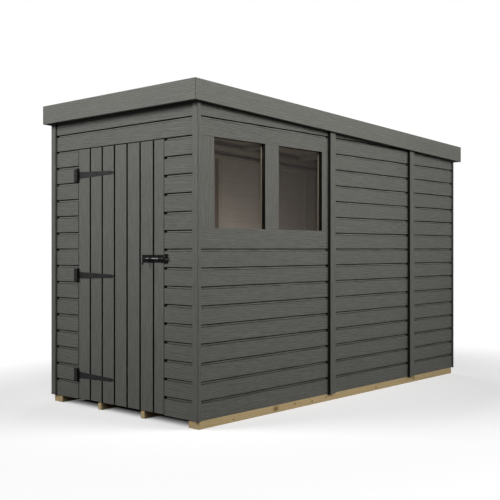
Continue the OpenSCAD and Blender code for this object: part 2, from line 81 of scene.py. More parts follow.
# Section of one wall board: the cove under the lip of the board above, the slot between them,
# the lap of the two boards and the play in it, and the rounding of lip and cove
BOARD_T = wall_high.y - wall_low.y
COVE_D = 10 * MM
COVE_H = 15 * MM
COVE_R = (COVE_H ** 2 + COVE_D ** 2) / (2 * COVE_D)
COVE_STEPS = 5
SLOT = 6 * MM
LAP = 9 * MM
PLAY = 0.6 * MM
LIP_ROUND = 1.2 * MM
ARRIS = 2.4 * MM

# Trims, and the length of the coves beside one that is painted dark as deep shade
CORNER_TRIM_W = 48 * MM
JOINT_TRIM_HALF = 31 * MM
SHADED_END = 20 * MM

# Door boards, counted from the hinges, and how deep the door's own edge shows paint before the
# painted shade in the gap
DOOR_BOARD = 0.128
DOOR_GROOVE = 7.5 * MM
DOOR_ARRIS = 1.5 * MM
DOOR_PAINTED_EDGE = 4 * MM

# Roof
ROOF_FALL = side_fascia_high.z - side_fascia_low.z - (fascia_high.z - fascia_low.z)
ROOF_SLOPE = ROOF_FALL / (side_fascia_high.y - side_fascia_low.y)
FELT_SHEETS = 3
FELT_T = 2.6 * MM
FELT_LAP = 75 * MM
FELT_LAP_RISE = 0.9 * MM

# Hardware
METAL_T = 3 * MM
KNUCKLE_PROUD = 13.5 * MM
HINGE_STEP = 0.685
HINGE_HEIGHTS = [pin.z - HINGE_STEP, pin.z, pin.z + HINGE_STEP]

# Soft edges: what is joined or smoothed first, the angle of an edge that is softened, and how
# far a normal leans to an axis for a face to look along it
WELD = 1e-5
NEARLY_FLAT = 0.01
SHARP = math.radians(40)
KEEP_MATERIAL = -1
ALONG_AXIS = 0.9

# A piece's materials, by their place in its list. The second is nearly black: cut edges and
# painted shade. The third is painted shade on the edges of trims and fascias, and the smooth back
# of wall and door boards. The fourth is the coves' paint, with painted shade low down.
PAINT, DARK, EDGE, COVE = range(4)
BACK = EDGE


# ---------------------------------------------------------------- shader nodes
def grey(tone):
    return (tone, tone, tone)


def times(values, share):
    return tuple(share * value for value in values)


def link(tree, a, b):
    tree.links.new(a, b)


def feed(tree, socket, value):
    """Sets a socket to a number or colour, or links it to another node's output."""
    if isinstance(value, (int, float)):
        socket.default_value = value
    elif isinstance(value, (tuple, list)):
        socket.default_value = (*value, 1) if len(socket.default_value) > len(value) else value
    else:
        link(tree, value, socket)


def math_node(tree, operation, *values, clamp=False):
    node = tree.nodes.new("ShaderNodeMath")
    node.operation = operation
    node.use_clamp = clamp
    for socket, value in zip(node.inputs, values):
        feed(tree, socket, value)
    return node.outputs[0]


def vector_node(tree, operation, *values):
    node = tree.nodes.new("ShaderNodeVectorMath")
    node.operation = operation
    for socket, value in zip(node.inputs, values):
        feed(tree, socket, value)
    return node.outputs["Value"] if operation in ("LENGTH", "DOT_PRODUCT") else node.outputs[0]


def scaled(tree, vector, share):
    node = tree.nodes.new("ShaderNodeVectorMath")
    node.operation = "SCALE"
    feed(tree, node.inputs["Vector"], vector)
    feed(tree, node.inputs["Scale"], share)
    return node.outputs[0]


def axis_node(tree, vector):
    """The x, y and z outputs of a vector."""
    node = tree.nodes.new("ShaderNodeSeparateXYZ")
    link(tree, vector, node.inputs[0])
    return node.outputs


def noise_node(tree, vector, scale, detail, roughness=0.55, distortion=0.0, output="Fac"):
    node = tree.nodes.new("ShaderNodeTexNoise")
    for label, value in (("Vector", vector), ("Scale", scale), ("Detail", detail),
                         ("Roughness", roughness), ("Distortion", distortion)):
        feed(tree, node.inputs[label], value)
    return node.outputs[output]


def mix_colour(tree, share, a, b):
    node = tree.nodes.new("ShaderNodeMix")
    node.data_type = "RGBA"
    for socket, value in ((node.inputs[0], share), (node.inputs[6], a), (node.inputs[7], b)):
        feed(tree, socket, value)
    return node.outputs[2]


def mix_shaders(tree, share, a, b):
    node = tree.nodes.new("ShaderNodeMixShader")
    for socket, value in zip(node.inputs, (share, a, b)):
        feed(tree, socket, value)
    return node.outputs[0]


def object_place(tree):
    return tree.nodes.new("ShaderNodeTexCoord").outputs["Object"]


# ---------------------------------------------------------------- effects that materials share
NUMBER, VECTOR, COLOUR = "NodeSocketFloat", "NodeSocketVector", "NodeSocketColor"
TWO_TONES = [("Dark", COLOUR, (0, 0, 0, 1)), ("Light", COLOUR, (1, 1, 1, 1))]


def new_group(name, inputs, outputs):
    """An empty shader node group with named sockets, and its two end nodes."""
    group = bpy.data.node_groups.new(name, "ShaderNodeTree")
    for label, kind, value in inputs:
        group.interface.new_socket(label, in_out="INPUT", socket_type=kind).default_value = value
    for label, kind in outputs:
        group.interface.new_socket(label, in_out="OUTPUT", socket_type=kind)
    return group, group.nodes.new("NodeGroupInput"), group.nodes.new("NodeGroupOutput")


def place_group(tree, group, **values):
    node = tree.nodes.new("ShaderNodeGroup")
    node.node_tree = group
    for label, value in values.items():
        feed(tree, node.inputs[label], value)
    return node


# Grain units to the metre: along a board, across it, and on cut ends, which have no direction
LONG, FINE, CUT_END = 11, 480, 30
ALONG = {"x": (LONG, FINE, FINE), "y": (FINE, LONG, FINE), "z": (FINE, FINE, LONG)}
# How far a line of grain strays, and how far a board's number moves the pattern
WANDER = 7 * MM
BOARD_SHIFT = (13.7, 29.3, 7.9)
# The rings: how close they follow each other, how far they bend, and how strongly they show
RING_TURN = 1.19
RING_BEND = 9.0
RING_DEPTH = 0.19
# The fine streaks between them
STREAK_DEPTH = 1.3
STREAK_BASE = -0.15


def make_grain_group():
    """Wood grain that is drawn out along a board: fine streaks, and the curved lines of rings.

    Streaks is this pattern, and Colour goes with it from Dark to Light. Emboss is a finer one
    for relief, and Patch changes slowly over the boards.
    """
    group, start, end = new_group(
        "wood_grain",
        [("Stretch", VECTOR, (1, 1, 1)), ("Board", NUMBER, 0.0), *TWO_TONES],
        [("Colour", COLOUR), ("Streaks", NUMBER), ("Emboss", NUMBER), ("Patch", NUMBER)],
    )
    still = object_place(group)
    drift = noise_node(group, still, scale=11, detail=1, output="Color")
    centred = vector_node(group, "SUBTRACT", drift, (0.5, 0.5, 0.5))
    place = vector_node(group, "ADD", still, scaled(group, centred, WANDER))
    shift = scaled(group, BOARD_SHIFT, start.outputs["Board"])
    stretched = vector_node(group, "MULTIPLY", vector_node(group, "ADD", place, shift),
                            start.outputs["Stretch"])

    fine = noise_node(group, stretched, scale=1.0, detail=2, roughness=0.6, distortion=0.15)
    faint = math_node(group, "MULTIPLY_ADD", fine, STREAK_DEPTH, STREAK_BASE)
    across = vector_node(group, "DOT_PRODUCT", stretched, (1, 1, 1))
    turn = math_node(group, "MULTIPLY_ADD", noise_node(group, stretched, scale=0.13, detail=1),
                     RING_BEND, math_node(group, "MULTIPLY", across, RING_TURN))
    rings = math_node(group, "SINE", turn)
    streaks = math_node(group, "MULTIPLY_ADD", rings, RING_DEPTH, faint, clamp=True)
    emboss = noise_node(group, stretched, scale=1.4, detail=2, roughness=0.6)
    patch = noise_node(group, place, scale=2.3, detail=2, roughness=0.5)

    link(group, mix_colour(group, streaks, start.outputs["Dark"], start.outputs["Light"]),
         end.inputs["Colour"])
    link(group, streaks, end.inputs["Streaks"])
    link(group, emboss, end.inputs["Emboss"])
    link(group, patch, end.inputs["Patch"])
    return group


def make_ground_shade_group():
    """Painted shade that grows darker towards the ground. Unshaded is 1 where there is none."""
    group, start, end = new_group("ground_shade", [("Base", NUMBER, 0.35), ("Rise", NUMBER, 0.5)],
                                  [("Unshaded", NUMBER)])
    height = axis_node(group, object_place(group))[2]
    unshaded = math_node(group, "MULTIPLY_ADD", height, start.outputs["Rise"], start.outputs["Base"],
                      clamp=True)
    link(group, unshaded, end.inputs["Unshaded"])
    return group


def make_coat_group():
    """Powder coat: Colour wears between two tones, and Peel is its orange-peel relief."""
    group, start, end = new_group("powder_coat", TWO_TONES, [("Colour", COLOUR), ("Peel", NUMBER)])
    place = object_place(group)
    wear = noise_node(group, place, scale=35, detail=4)
    link(group, mix_colour(group, wear, start.outputs["Dark"], start.outputs["Light"]),
         end.inputs["Colour"])
    link(group, noise_node(group, place, scale=700, detail=2), end.inputs["Peel"])
    return group


GRAIN = make_grain_group()
GROUND_SHADE = make_ground_shade_group()
COAT = make_coat_group()


# ---------------------------------------------------------------- materials
# Slow patches and painted shade low in the coves: their share, and their tone as a share of the
# board's dark tone
PATCH_SHARE, PATCH_TONE = 0.18, 0.8
GROUND_SHADE_TONE = 0.5
# How much of the streaks stands out as relief, and how much of the felt's mottle shows
STREAK_RELIEF = 0.8
FELT_MOTTLE = 0.5


def new_material(name):
    material = bpy.data.materials.new(name)
    material.use_nodes = True
    return material, material.node_tree, material.node_tree.nodes["Principled BSDF"]


def board_grain(tree, along, dark, light, fineness=1.0):
    """The grain group set along one axis, with its own stretch of grain for each board."""
    board = tree.nodes.new("ShaderNodeAttribute")
    board.attribute_name = "board_number"
    return place_group(tree, GRAIN, Stretch=times(ALONG[along], fineness),
                       Board=board.outputs["Fac"], Dark=dark, Light=light)


def set_gloss(shader, roughness, specular):
    shader.inputs["Roughness"].default_value = roughness
    shader.inputs["Specular IOR Level"].default_value = specular


def set_finish(tree, shader, colour, relief, strength, depth, roughness, specular):
    """Colour and relief that change over the surface, and the plain values of its gloss."""
    link(tree, colour, shader.inputs["Base Color"])
    bump = tree.nodes.new("ShaderNodeBump")
    bump.inputs["Strength"].default_value = strength
    bump.inputs["Distance"].default_value = depth
    link(tree, relief, bump.inputs["Height"])
    link(tree, bump.outputs["Normal"], shader.inputs["Normal"])
    set_gloss(shader, roughness, specular)


def painted_board(name, along, dark, light):
    """Grey board with pressed grain along one axis, a little darker in slow patches."""
    material, tree, shader = new_material(name)
    grain = board_grain(tree, along, dark, light)
    patch = math_node(tree, "MULTIPLY", grain.outputs["Patch"], PATCH_SHARE)
    mellow = mix_colour(tree, patch, grain.outputs["Colour"], times(dark, PATCH_TONE))
    relief = math_node(tree, "MULTIPLY_ADD", grain.outputs["Streaks"], STREAK_RELIEF,
                       grain.outputs["Emboss"])
    set_finish(tree, shader, mellow, relief, strength=0.5, depth=1.0 * MM,
               roughness=0.65, specular=0.12)
    return material


def cove_paint(name, along, dark, light):
    """The paint inside the coves, darker towards the ground: painted shade under the lip above."""
    material, tree, shader = new_material(name)
    grain = board_grain(tree, along, dark, light)
    unshaded = place_group(tree, GROUND_SHADE).outputs["Unshaded"]
    shaded_low = mix_colour(tree, unshaded, times(dark, GROUND_SHADE_TONE), grain.outputs["Colour"])
    set_finish(tree, shader, shaded_low, grain.outputs["Emboss"], strength=0.4, depth=1.0 * MM,
               roughness=0.65, specular=0.12)
    return material


def cut_edge_and_shade():
    """Nearly black: cut board edges, and painted shade in joints, slots, reveals and undersides."""
    material, tree, shader = new_material("cut_edge_and_shade")
    grain = place_group(tree, GRAIN, Stretch=(CUT_END, CUT_END, CUT_END),
                        Dark=(0.0025, 0.0025, 0.002), Light=(0.005, 0.005, 0.0045))
    set_finish(tree, shader, grain.outputs["Colour"], grain.outputs["Emboss"],
               strength=0.2, depth=0.5 * MM, roughness=0.9, specular=0.02)
    return material


def framing_timber(along):
    """Planed softwood with long soft grain."""
    material, tree, shader = new_material("framing_timber_" + along)
    grain = board_grain(tree, along, (0.29, 0.25, 0.19), (0.45, 0.39, 0.31), fineness=0.6)
    set_finish(tree, shader, grain.outputs["Colour"], grain.outputs["Emboss"],
               strength=0.3, depth=0.8 * MM, roughness=0.7, specular=0.2)
    return material


def board_back():
    """The smooth inner side of the boards: pinkish brown."""
    material, tree, shader = new_material("board_back")
    mottle = noise_node(tree, object_place(tree), scale=9, detail=4)
    tone = mix_colour(tree, mottle, (0.36, 0.31, 0.265), (0.46, 0.40, 0.345))
    set_finish(tree, shader, tone, mottle, strength=0.1, depth=0.5 * MM,
               roughness=0.8, specular=0.1)
    return material


# Knots of the bearers: place along the shed, height, half length. Then how flat their ovals
# are, and how far out in half lengths they reach.
KNOTS = [
    (-0.84, 0.026, 0.030), (-0.64, 0.030, 0.011), (-0.45, 0.022, 0.013), (-0.29, 0.028, 0.010),
    (0.35, 0.020, 0.013), (0.90, 0.030, 0.018), (-1.25, 0.018, 0.009),
]
KNOT_LENGTH_TO_HEIGHT = 1.6
KNOT_REACH = 1.3


def knot_mask(tree, place):
    """Oval spots at the knots, dark in the middle and soft at the edge."""
    mask = 0.0
    for y, z, half in KNOTS:
        away = vector_node(tree, "SUBTRACT", place, (0, y, z))
        oval = vector_node(tree, "MULTIPLY", away, (0, 1 / half, KNOT_LENGTH_TO_HEIGHT / half))
        distance = vector_node(tree, "LENGTH", oval)
        spot = math_node(tree, "SUBTRACT", KNOT_REACH, distance, clamp=True)
        mask = math_node(tree, "MAXIMUM", mask, spot)
    return mask


def treated_timber():
    """Sawn, treated softwood with long grain and brown knots."""
    material, tree, shader = new_material("treated_timber")
    grain = board_grain(tree, "y", (0.33, 0.240, 0.118), (0.51, 0.390, 0.212), fineness=0.7)
    knots = knot_mask(tree, object_place(tree))
    tone = mix_colour(tree, knots, grain.outputs["Colour"], (0.15, 0.095, 0.045))
    set_finish(tree, shader, tone, grain.outputs["Emboss"], strength=0.35, depth=1.0 * MM,
               roughness=0.75, specular=0.2)
    return material


def black_metal(name, dark, light, roughness, specular):
    """Satin black powder coat with a fine orange-peel surface."""
    material, tree, shader = new_material(name)
    coat = place_group(tree, COAT, Dark=grey(dark), Light=grey(light))
    set_finish(tree, shader, coat.outputs["Colour"], coat.outputs["Peel"], strength=0.25,
               depth=0.2 * MM, roughness=roughness, specular=specular)
    return material


def roofing_felt():
    """Dark mineral felt: coarse grit over a soft mottle."""
    material, tree, shader = new_material("roofing_felt")
    place = object_place(tree)
    grit = noise_node(tree, place, scale=900, detail=3, roughness=0.8)
    mottle = math_node(tree, "MULTIPLY", noise_node(tree, place, scale=5, detail=4),
                       FELT_MOTTLE)
    base = mix_colour(tree, grit, (0.012, 0.013, 0.013), (0.075, 0.078, 0.076))
    tone = mix_colour(tree, mottle, base, (0.03, 0.033, 0.033))
    set_finish(tree, shader, tone, grit, strength=0.6, depth=1.2 * MM,
               roughness=0.95, specular=0.2)
    return material


def window_pane():
    """Clear glass, thin enough to see straight through."""
    material, tree, shader = new_material("window_pane")
    film = noise_node(tree, object_place(tree), scale=3, detail=3)
    tone = mix_colour(tree, film, (0.02, 0.022, 0.022), (0.04, 0.043, 0.043))
    link(tree, tone, shader.inputs["Base Color"])
    shader.inputs["Alpha"].default_value = 0.10
    set_gloss(shader, roughness=0.04, specular=0.5)
    return material


def along_axes(make, name, axes, dark, light):
    """One material for each axis that its boards run along."""
    return {axis: make(name + "_" + axis, axis, dark, light) for axis in axes}


WALL_TONES = ((0.047, 0.047, 0.0425), (0.143, 0.142, 0.129))
# The fascias' tones are a lighter copy of the wall paint: painted light, where they catch more
# light
LIT_FASCIA_TONES = ((0.069, 0.069, 0.062), (0.152, 0.151, 0.137))
# Painted shade for the edges of trims and fascias, and the back corner trims' butting sides
EDGE_SHADE_TONES = ((0.016, 0.016, 0.014), (0.03, 0.03, 0.027))
# Near-black paint on the sides of the joint trims: painted shade
TRIM_SIDE_SHADE_TONES = ((0.005, 0.005, 0.0045), (0.010, 0.010, 0.009))

WALL = along_axes(painted_board, "wall_paint", "xyz", *WALL_TONES)
LIT_FASCIA = along_axes(painted_board, "fascia_paint", "xy", *LIT_FASCIA_TONES)
EDGE_SHADE = along_axes(painted_board, "worn_edge", "xyz", *EDGE_SHADE_TONES)
TRIM_SIDE_SHADE = painted_board("trim_side_shade", "z", *TRIM_SIDE_SHADE_TONES)
# Paint of the coves, with painted shade that deepens towards the ground
SHADED_COVES = along_axes(cove_paint, "cove_paint", "xy", *WALL_TONES)
CUT_AND_SHADE = cut_edge_and_shade()
FRAMING = {axis: framing_timber(axis) for axis in "xyz"}
LINING = board_back()
TREATED = treated_timber()
METAL = black_metal("black_metal", dark=0.006, light=0.012, roughness=0.42, specular=0.08)
ROD = black_metal("rod_metal", dark=0.003, light=0.005, roughness=0.17, specular=0.38)
PLATE = black_metal("plate_metal", dark=0.002, light=0.004, roughness=0.36, specular=0.05)
# Blacker metal on the hinge knuckles: painted shade
KNUCKLE_SHADE = black_metal("knuckle_shade_metal", dark=0.003, light=0.006, roughness=0.42, specular=0.05)
SCREW = black_metal("screw_metal", dark=0.001, light=0.002, roughness=0.5, specular=0.015)
FELT = roofing_felt()
PANE = window_pane()


# ---------------------------------------------------------------- mesh tools
def new_mesh():
    bm = bmesh.new()
    return bm, bm.faces.layers.float.new("board_number")


def number_board(faces, layer):
    """Numbers faces as one board, so that each board gets its own stretch of grain."""
    value = dice.uniform(0, 9)
    for face in faces:
        face[layer] = value


def prism(bm, layer, outline, to_point, start, end, marks):
    """Extrudes a closed outline from start to end; marks gives a material for each side face."""
    rings = [[bm.verts.new(to_point(u, v, w)) for u, v in outline] for w in (start, end)]
    faces = []
    for i, mark in enumerate(marks):
        j = (i + 1) % len(outline)
        faces.append(bm.faces.new((rings[0][i], rings[0][j], rings[1][j], rings[1][i])))
        faces[-1].material_index = mark
    for ring in (rings[0][::-1], rings[1]):
        faces.append(bm.faces.new(ring))
    number_board(faces, layer)
    return faces


def finish_piece(bm, name, body, materials, slot, *replaced):
    """Turns a bmesh into a piece that rides on a body and stands for CAD nodes."""
    bmesh.ops.recalc_face_normals(bm, faces=bm.faces)
    mesh = bpy.data.meshes.new(name)
    bm.to_mesh(mesh)
    bm.free()
    for material in materials:
        mesh.materials.append(material)
    piece = bpy.data.objects.new(name, mesh)
    bpy.context.scene.collection.objects.link(piece)
    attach(piece, body)
    if replaced:
        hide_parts(*replaced)


def cut_above(bm, point, normal):
    """Cuts away what lies past a plane and closes the cut."""
    geometry = bm.verts[:] + bm.edges[:] + bm.faces[:]
    cut = bmesh.ops.bisect_plane(bm, geom=geometry, plane_co=point, plane_no=normal,
                                 clear_outer=True)["geom_cut"]
    edges = [e for e in cut if isinstance(e, bmesh.types.BMEdge) and e.is_boundary]
    if edges:
        bmesh.ops.edgeloop_fill(bm, edges=edges)


def islands(bm):
    """The separate solids of a mesh, each as a list of faces, in the order of their first faces."""
    seen = set()
    for first in bm.faces:
        if first in seen:
            continue
        seen.add(first)
        found = [first]
        for face in found:
            for edge in face.edges:
                for other in edge.link_faces:
                    if other not in seen:
                        seen.add(other)
                        found.append(other)
        yield found


def bevel(bm, edges, width, segments, material):
    bmesh.ops.bevel(bm, geom=edges, offset=width, segments=segments, affect="EDGES", profile=0.5,
                    clamp_overlap=True, material=material)


def sharp_edges(bm):
    return [e for e in bm.edges if len(e.link_faces) == 2 and e.calc_face_angle(0) > SHARP]


def softened(node, body, materials, slot, width, mark=None, worn=None, shade_line_width=0):
    """A copy of a CAD node with soft edges, which stands for the node.

    mark gives a face's material from its normal and centre, and the edge picker chooses the edges
    whose narrow bevel gets painted shade, a dark line.
    """
    source = frame["nodes"][node]
    bm = bmesh.new()
    bm.from_mesh(source.data)
    layer = bm.faces.layers.float.new("board_number")
    bm.transform(source.matrix_world)
    bmesh.ops.remove_doubles(bm, verts=bm.verts, dist=WELD)
    bmesh.ops.dissolve_limit(bm, angle_limit=NEARLY_FLAT, verts=bm.verts, edges=bm.edges)
    bm.normal_update()
    for face in bm.faces:
        face.material_index = mark(face.normal, face.calc_center_median()) if mark else PAINT
    for solid in islands(bm):
        number_board(solid, layer)
    if worn:
        shade_line_edges = [e for e in sharp_edges(bm) if worn(e)]
        bevel(bm, shade_line_edges, shade_line_width, segments=1, material=EDGE)
    plain = [e for e in sharp_edges(bm) if all(f.material_index != EDGE for f in e.link_faces)]
    bevel(bm, plain, width, segments=2, material=KEEP_MATERIAL)
    finish_piece(bm, node + ".soft", body, materials, slot, node)


# ---------------------------------------------------------------- wall boards
def board_outline(low, high, lip_over, coved, tongued):
    """Section of one board as (depth behind the face, height), with a material for each side.

    lip_over: it laps over a board below. coved: its upper edge has the cove. tongued: it runs up
    behind a board above.
    """
    points, marks = [], []

    def add(depth, height, mark):
        points.append((depth, height))
        marks.append(mark)

    # The faces in the lap and slot, the arris line under the cove, and the undersides over door and
    # window get the dark material: painted shade
    if lip_over:
        add(BOARD_T, low + LAP, DARK)
        add(COVE_D + PLAY, low + LAP, DARK)
        add(COVE_D + PLAY, low, DARK)
    else:
        add(BOARD_T, low, DARK if low > FIRST_LINE else PAINT)
    add(LIP_ROUND, low, PAINT)
    add(0, low + LIP_ROUND, PAINT)
    if coved:
        add(0, high - COVE_H - ARRIS, DARK)
        add(ARRIS, high - COVE_H, COVE)
        first = math.asin((COVE_H - ARRIS) / COVE_R)
        last = math.asin(SLOT / COVE_R)
        for i in range(COVE_STEPS + 1):
            turn = first + (last - first) * i / COVE_STEPS
            add(COVE_D - COVE_R + COVE_R * math.cos(turn), high - COVE_R * math.sin(turn),
                DARK if i == COVE_STEPS else COVE)
        top = high + (LAP - PLAY if tongued else 0)
        add(COVE_D, top, DARK)
    else:
        top = high
        add(0, top, DARK)
    add(BOARD_T, top, BACK)
    return points, marks


def board_rows(low, high):
    """Lowest and highest place of each board between two heights."""
    lines = [FIRST_LINE + i * PITCH for i in range(MOST_ROWS)]
    edges = [low, *[z for z in lines if low + COVE_H < z < high - SMALLEST_TOP_ROW], high]
    return list(zip(edges[:-1], edges[1:]))


def lay_boards(span, to_point, low, high, cove_at_top, dark_span):
    """All boards of one panel; over the dark span the coves are painted dark, as deep shade.

    A board's lengths on both sides of the shade share one number, so its grain runs through.
    """
    bm, layer = new_mesh()
    rows = board_rows(low, high)
    for i, (z0, z1) in enumerate(rows):
        top_row = i == len(rows) - 1
        outline, marks = board_outline(z0, z1, i > 0, cove_at_top or not top_row, not top_row)
        shade = [DARK if mark == COVE else mark for mark in marks]
        board = dice.uniform(0, 9)
        cuts = sorted({span[0], span[1], *(c for c in dark_span if span[0] < c < span[1])})
        for start, end in zip(cuts[:-1], cuts[1:]):
            dark = dark_span[0] < (start + end) / 2 < dark_span[1]
            for face in prism(bm, layer, outline, to_point, start, end, shade if dark else marks):
                face[layer] = board
    return bm


def side_panel(node, side):
    """One panel of a long side: 1 is the side with the panes, -1 the other.

    A panel that ends on a line of boards has a cove there; the others are cut to the roof's slope.
    The coves are painted dark as deep shade at the panel's rear end. At a joint half the trim
    covers that end; at the back corner the trim stands beside it.
    """
    low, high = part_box(node)
    face = high.x if side > 0 else low.x

    def to_point(depth, height, along):
        return Vector((face - side * depth, along, height))

    top_is_line = high.z < DOOR_HEAD + PITCH + MM
    at_back_corner = high.y > back_face - 3 * CORNER_TRIM_W
    dark_end = high.y - (0 if at_back_corner else JOINT_TRIM_HALF)
    bm = lay_boards((low.y, high.y), to_point, low.z, high.z, top_is_line,
                    (dark_end - SHADED_END, dark_end))
    if not top_is_line:
        cut_above(bm, (0, low.y, high.z), (0, ROOF_SLOPE, 1))
    materials = [WALL["y"], CUT_AND_SHADE, LINING, SHADED_COVES["y"]]
    finish_piece(bm, node + ".rows", "shed", materials, "wall_boards", node)


def end_panel(node, end, cove_at_top=False):
    """One panel of an end wall: 1 is the door end, -1 the back.

    The coves are painted dark as deep shade at the panel's left end, or beside the left corner
    trim.
    """
    low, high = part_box(node)
    face = low.y if end > 0 else high.y

    def to_point(depth, height, along):
        return Vector((along, face + end * depth, height))

    dark_end = max(low.x, trim_low.x + CORNER_TRIM_W)
    bm = lay_boards((low.x, high.x), to_point, low.z, high.z, cove_at_top,
                    (dark_end, dark_end + SHADED_END))
    materials = [WALL["x"], CUT_AND_SHADE, LINING, SHADED_COVES["x"]]
    finish_piece(bm, node + ".rows", "shed", materials, "wall_boards", node)


def wall_boards():
    for node in ("right_boards_below_window", "window_header_board", "right_boards_above_window",
                 "right_middle_boards", "right_rear_boards"):
        side_panel(node, 1)
    for node in ("left_front_boards", "left_middle_boards", "left_rear_boards"):
        side_panel(node, -1)
    end_panel("front_boards_left", 1, cove_at_top=True)
    end_panel("front_boards_right", 1, cove_at_top=True)
    end_panel("front_boards_top", 1)
    end_panel("back_boards", -1)


# ---------------------------------------------------------------- trims, fascias and flat boards
def looks_along(share):
    return abs(share) > ALONG_AXIS


# The sides of joint trims and window stiles that look along y get painted shade
def sides_dark(normal, centre):
    return DARK if looks_along(normal.y) else PAINT


def inner_sides_dark(normal, centre):
    """Of a corner trim, the butting sides get painted shade: near black in front, mid at the back.
    """
    between_faces = wall_low.y + MM < centre.y < back_face - MM
    if not looks_along(normal.y) or not between_faces:
        return PAINT
    return EDGE if centre.y > 0 else DARK


def mitre_dark(normal, centre):
    """A face that leans to both x and y is a fascia's mitred end."""
    return DARK if abs(normal.x * normal.y) > 0.3 else PAINT


def at_corner(high):
    """Picks the upright edges at the shed's outer corners, from the reach of its pieces there."""
    def picked(edge):
        return all(abs(v.co.x) > high.x - MM and abs(v.co.y) > high.y - MM for v in edge.verts)
    return picked


def trims_and_fascias():
    upright = [WALL["z"], CUT_AND_SHADE, EDGE_SHADE["z"]]
    softened("corner_trims", "shed", upright, "trim_boards", 1 * MM, mark=inner_sides_dark,
             worn=at_corner(trim_high), shade_line_width=2 * MM)
    softened("joint_trims", "shed", [WALL["z"], TRIM_SIDE_SHADE], "trim_boards", 1 * MM, mark=sides_dark)
    softened("window_stiles", "shed", upright, "wall_boards", 1 * MM, mark=sides_dark)
    softened("window_sill_board", "shed", [WALL["y"]], "wall_boards", 1 * MM)
    fascia_corner = at_corner(Vector((fascia_high.x, -fascia_low.y, 0)))
    for node, along in (("right_fascia", "y"), ("left_fascia", "y"), ("front_fascia", "x"),
                        ("back_fascia", "x")):
        softened(node, "shed", [LIT_FASCIA[along], CUT_AND_SHADE, EDGE_SHADE[along]], "fascia_boards", 1 * MM,
                 mark=mitre_dark, worn=fascia_corner, shade_line_width=1.5 * MM)


# ---------------------------------------------------------------- timber
def frame_reveal(normal, centre):
    """The part of a pane's frame in front of the glass is painted dark, as shade in the reveal."""
    return DARK if centre.x > glass_low.x and abs(normal.x) < 0.5 else PAINT


# Every face of the floor deck but its top gets painted shade
def all_but_top_dark(normal, centre):
    return PAINT if normal.z > 0.5 else DARK


def timber_pieces():
    for node in ("right_wall_studs", "left_wall_studs", "front_wall_studs", "back_wall_studs",
                 "door_stops"):
        softened(node, "shed", [FRAMING["z"]], "framing_timber", 1.5 * MM)
    for node in ("right_wall_plates", "left_wall_plates", "wall_rails"):
        softened(node, "shed", [FRAMING["y"]], "framing_timber", 1.5 * MM)
    softened("floor_deck", "shed", [FRAMING["y"], CUT_AND_SHADE], "framing_timber", 1.5 * MM,
             mark=all_but_top_dark)
    for node in ("front_wall_plates", "back_wall_plates", "roof_joists", "roof_deck"):
        softened(node, "shed", [FRAMING["x"]], "framing_timber", 1.5 * MM)
    for node in ("door_ledges", "door_braces"):
        softened(node, "door", [FRAMING["x"]], "framing_timber", 2 * MM)
    softened("window_frames", "shed", [FRAMING["z"], CUT_AND_SHADE], "framing_timber", 1 * MM,
             mark=frame_reveal)
    softened("bearers", "shed", [TREATED], "treated_timber", 2 * MM)


# ---------------------------------------------------------------- door
def door_boards():
    """Upright boards side by side, with a V groove at each joint."""
    bm, layer = new_mesh()
    face = door_low.y
    back = door_high.y
    edges = [door_low.x]
    while edges[-1] + DOOR_BOARD < door_high.x:
        edges.append(edges[-1] + DOOR_BOARD)
    edges.append(door_high.x)

    def to_point(x, y, z):
        return Vector((x, y, z))

    for i, (left, right) in enumerate(zip(edges[:-1], edges[1:])):
        first = i == 0
        last = i == len(edges) - 2
        left_cut = DOOR_ARRIS if first else DOOR_GROOVE
        right_cut = DOOR_ARRIS if last else DOOR_GROOVE
        outline = [(left, back), (left, face + left_cut), (left + left_cut, face),
                   (right - right_cut, face), (right, face + right_cut),
                   (right, face + right_cut + DOOR_PAINTED_EDGE), (right, back)]
        # The sides of the V grooves and the door's edge deeper in the gap get painted shade
        left_mark = PAINT if first else DARK
        right_mark = PAINT if last else DARK
        marks = [left_mark, left_mark, PAINT, right_mark, right_mark, DARK, BACK]
        prism(bm, layer, outline, to_point, door_low.z, door_high.z, marks)
    finish_piece(bm, "door_boards.rows", "door", [WALL["z"], CUT_AND_SHADE, LINING], "wall_boards",
                 "door_boards")


# ---------------------------------------------------------------- hardware
SCREW_R = 4.2 * MM
SCREW_H = 2.0 * MM
SCREW_SIDES = 16
# Rings of the round head: share of its radius, share of its height
SCREW_RINGS = ((1.0, 0.0), (0.92, 0.45), (0.62, 0.85))
# The dark cross in it: how far out its middle lies, its length and its depth, as such shares
CROSS_OUT, CROSS_LENGTH, CROSS_DEPTH = 0.87, 1.1, 0.3
CROSS_W = 0.9 * MM


def add_screw(bm, place):
    """A round screw head that faces the door end, with a cross slot."""
    angles = [2 * math.pi * i / SCREW_SIDES for i in range(SCREW_SIDES)]
    rings = []
    for share, rise in SCREW_RINGS:
        rings.append([bm.verts.new(place + Vector((share * SCREW_R * math.cos(a), -rise * SCREW_H,
                                                   share * SCREW_R * math.sin(a))))
                      for a in angles])
    for inner, outer in zip(rings[1:], rings[:-1]):
        for i in range(SCREW_SIDES):
            j = (i + 1) % SCREW_SIDES
            bm.faces.new((outer[i], outer[j], inner[j], inner[i])).smooth = True
    bm.faces.new(rings[-1])
    bm.faces.new(rings[0][::-1])
    middle = Matrix.Translation(place + Vector((0, -CROSS_OUT * SCREW_H, 0)))
    shape = Matrix.Diagonal((CROSS_LENGTH * SCREW_R, CROSS_DEPTH * SCREW_H, CROSS_W, 1))
    for turn in (math.radians(45), math.radians(135)):
        bar = bmesh.ops.create_cube(
            bm, size=1, matrix=middle @ Matrix.Rotation(turn, 4, "Y") @ shape)
        for vert in bar["verts"]:
            for face in vert.link_faces:
                face.material_index = DARK


